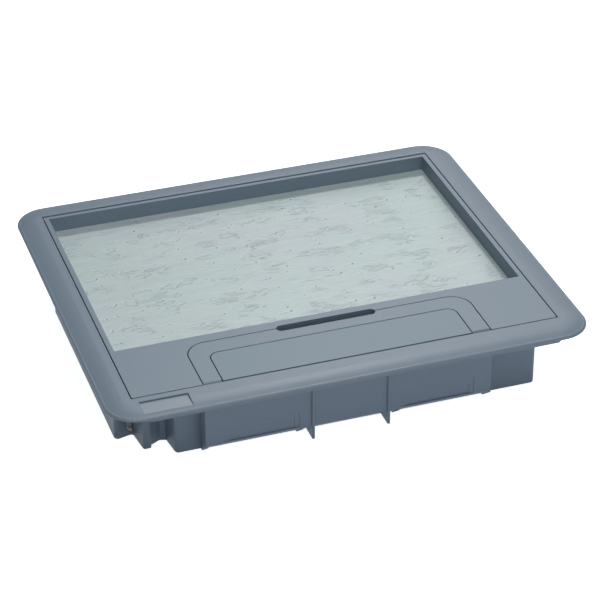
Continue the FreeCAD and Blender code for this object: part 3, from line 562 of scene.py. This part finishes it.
def contact_sleeves(row, count):
    """Brass sleeves in the contact holes of a row of sockets."""
    names = [name for name in NODES if name.startswith("socket_" + row)]
    centres = [middle_of(name) for name in names]
    pitch = (max(c.x for c in centres) - min(c.x for c in centres)) / (count - 1)
    middle_x = sum(c.x for c in centres) / count
    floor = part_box(names[0])[1][2] - SOCKET_WELL
    brass = FINISHES["brass"]
    sleeve = new_piece("contact_sleeves_" + row, lambda work: lathe(work, in_metres(SLEEVE)))
    GRID.grow(sleeve, Columns=2, Rows=1, Pitch_X=SLEEVE_PITCH, Pitch_Y=0.0, Middle=(0, 0, 0), Material=brass)
    GRID.grow(sleeve, Columns=count, Rows=1, Pitch_X=pitch, Pitch_Y=0.0,
              Middle=(middle_x, centres[0].y, floor - SLEEVE_SINK), Material=brass)
    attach(settle(sleeve), "casing")


def port_contacts():
    """Eight sprung gold wires in each of the four data ports."""
    first = middle_of("data_front_1")
    second = middle_of("data_front_2")
    apart = second.x - first.x
    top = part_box("data_front_1")[1][2]

    def wire(work):
        rails = []
        for y, z in in_metres(WIRE_BENDS):
            rails.append([work.verts.new((side * WIRE_HALF, y, z + up)) for side, up in
                          ((-1, 0), (1, 0), (1, WIRE_T), (-1, WIRE_T))])
        for a, b in zip(rails, rails[1:]):
            for i in range(4):
                j = (i + 1) % 4
                work.faces.new((a[i], a[j], b[j], b[i]))
        work.faces.new(rails[0])
        work.faces.new(list(reversed(rails[-1])))

    wires = new_piece("port_contacts", wire)
    gold = FINISHES["gold"]
    for columns, pitch in ((WIRES, WIRE_PITCH), (2, apart / 2)):
        GRID.grow(wires, Columns=columns, Rows=1, Pitch_X=pitch, Pitch_Y=0.0, Middle=(0, 0, 0), Material=gold)
    GRID.grow(wires, Columns=2, Rows=1, Pitch_X=apart, Pitch_Y=0.0,
              Middle=((first.x + second.x) / 2, first.y, top), Material=gold)
    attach(settle(wires), "casing")


def clamp_screw(corner):
    """A threaded clamp screw with a slotted cheese head, in place of its plain stand-in."""
    node = "clamp_screw_" + corner
    low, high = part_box(node)
    centre = middle_of(node)
    tip = low[2]
    head_top = high[2]
    under = head_top - CLAMP_HEAD_H
    turns = (under - 4 * MM - tip - 1 * MM) / THREAD_PITCH
    profile = [(0, tip), (1.3 * MM, tip), (CLAMP_CORE_R, tip + 0.7 * MM), (CLAMP_CORE_R, under - 3.2 * MM),
               (CLAMP_SHANK_R, under - 2.8 * MM), (CLAMP_SHANK_R, under), (3.7 * MM, under),
               (CLAMP_HEAD_R, under + 0.3 * MM), (CLAMP_HEAD_R, head_top - 0.4 * MM), (3.6 * MM, head_top),
               (0, head_top)]
    screw = new_piece("threaded_screw_" + corner,
                      lambda work: lathe(work, profile, CLAMP_STEPS, (centre.x, centre.y, 0)))

    def slot(work):
        block(work, (centre.x - 5 * MM, centre.y - CLAMP_SLOT_HALF, head_top - CLAMP_SLOT_DEPTH),
              (centre.x + 5 * MM, centre.y + CLAMP_SLOT_HALF, head_top + 1 * MM))

    cut(screw, slot)
    THREAD.grow(screw, Turns=turns, Pitch=THREAD_PITCH, Radius=THREAD_R,
                Foot=(centre.x, centre.y, tip + THREAD_INSET), Material=FINISHES["clamp_steel"])
    settle(screw)
    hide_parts(node)
    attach(screw, node)


# --- stage -----------------------------------------------------------------------------------------------
def white_floor():
    """A pale floor: white to the camera and in reflections, with the box's soft shadow, and a mild bounce."""
    mesh = bpy.data.meshes.new("floor")
    corners = [(x * FLOOR_REACH, y * FLOOR_REACH, FLOOR_LEVEL)
               for x, y in ((-1, -1), (1, -1), (1, 1), (-1, 1))]
    mesh.from_pydata(corners, [], [(0, 1, 2, 3)])
    floor = bpy.data.objects.new("floor", mesh)
    bpy.context.scene.collection.objects.link(floor)
    f = Finish("floor_white")
    camera, glossy, through = f.node("ShaderNodeLightPath", out=("Is Camera Ray", "Is Glossy Ray",
                                                                 "Is Transmission Ray"))
    seen = camera.math("MAXIMUM", glossy).math("MAXIMUM", through)
    matt = f.node("ShaderNodeBsdfDiffuse", {}, {"Color": (*FLOOR_WHITE, 1)})
    glow = f.node("ShaderNodeEmission", {}, {"Color": (*WHITE, 1), "Strength": FLOOR_GLOW})
    lit = f.node("ShaderNodeAddShader", {}, {0: matt, 1: glow})
    shader = f.node("ShaderNodeMixShader", {}, {0: seen, 1: matt, 2: lit})
    f.node("ShaderNodeOutputMaterial", {}, {"Surface": shader}, out=())
    mesh.materials.append(f.material)


def white_world():
    world = bpy.data.worlds.new("studio")
    bpy.context.scene.world = world
    world.use_nodes = True
    tree = world.node_tree
    tree.nodes.clear()
    path = tree.nodes.new("ShaderNodeLightPath")
    soft = tree.nodes.new("ShaderNodeBackground")
    soft.inputs["Color"].default_value = (*WORLD_TINT, 1)
    soft.inputs["Strength"].default_value = WORLD_LIGHT
    white = tree.nodes.new("ShaderNodeBackground")
    white.inputs["Color"].default_value = (*WHITE, 1)
    white.inputs["Strength"].default_value = 1.0
    mix = tree.nodes.new("ShaderNodeMixShader")
    end = tree.nodes.new("ShaderNodeOutputWorld")
    tree.links.new(path.outputs["Is Camera Ray"], mix.inputs[0])
    tree.links.new(soft.outputs[0], mix.inputs[1])
    tree.links.new(white.outputs[0], mix.inputs[2])
    tree.links.new(mix.outputs[0], end.inputs["Surface"])


def softbox(name, place, width, depth, power, colour=WHITE):
    """A rectangular lamp that faces the middle of the box."""
    data = bpy.data.lights.new(name, "AREA")
    data.shape = "RECTANGLE"
    data.size = width
    data.size_y = depth
    data.energy = power
    data.color = colour
    lamp = bpy.data.objects.new(name, data)
    lamp.location = place
    lamp.rotation_euler = (Vector(AIM) - Vector(place)).to_track_quat("-Z", "Y").to_euler()
    bpy.context.scene.collection.objects.link(lamp)


def set_camera():
    """The product view: from the front left and above, with a long lens."""
    data = bpy.data.cameras.new("camera")
    data.lens = LENS
    data.sensor_width = SENSOR_WIDTH
    data.clip_start = CLIP_START
    camera = bpy.data.objects.new("camera", data)
    heading, down, tilt = (math.radians(angle) for angle in CAMERA_TURN)
    camera.matrix_world = (Matrix.Translation(CAMERA_PLACE) @ Matrix.Rotation(-heading, 4, "Z")
                           @ Matrix.Rotation(math.pi / 2 - down, 4, "X") @ Matrix.Rotation(tilt, 4, "Z"))
    bpy.context.scene.collection.objects.link(camera)
    bpy.context.scene.camera = camera


dress_cad_nodes()
support_screws()
contact_sleeves("middle", 2)
contact_sleeves("back", 4)
port_contacts()
for corner in ("front_left", "front_right", "back_left", "back_right"):
    clamp_screw(corner)

white_floor()
white_world()
softbox("key", (0.72, 1.72, 2.05), 0.5, 0.3, 16.0)
softbox("overhead", (0.0, 0.0, 2.7), 1.2, 1.2, 7.0)
softbox("front_high", (-0.1, -0.7, 2.6), 0.8, 0.8, 18.5)
softbox("front_middle", (0.34, -2.04, 2.2), 2.0, 1.4, 4.0)
softbox("front_low", (0.65, -2.6, 1.04), 1.5, 1.0, 5.0, COOL_WHITE)
softbox("back_low", (1.44, 2.56, 1.44), 1.9, 1.3, 11.0)
set_camera()

bpy.context.scene.view_settings.view_transform = "Standard"
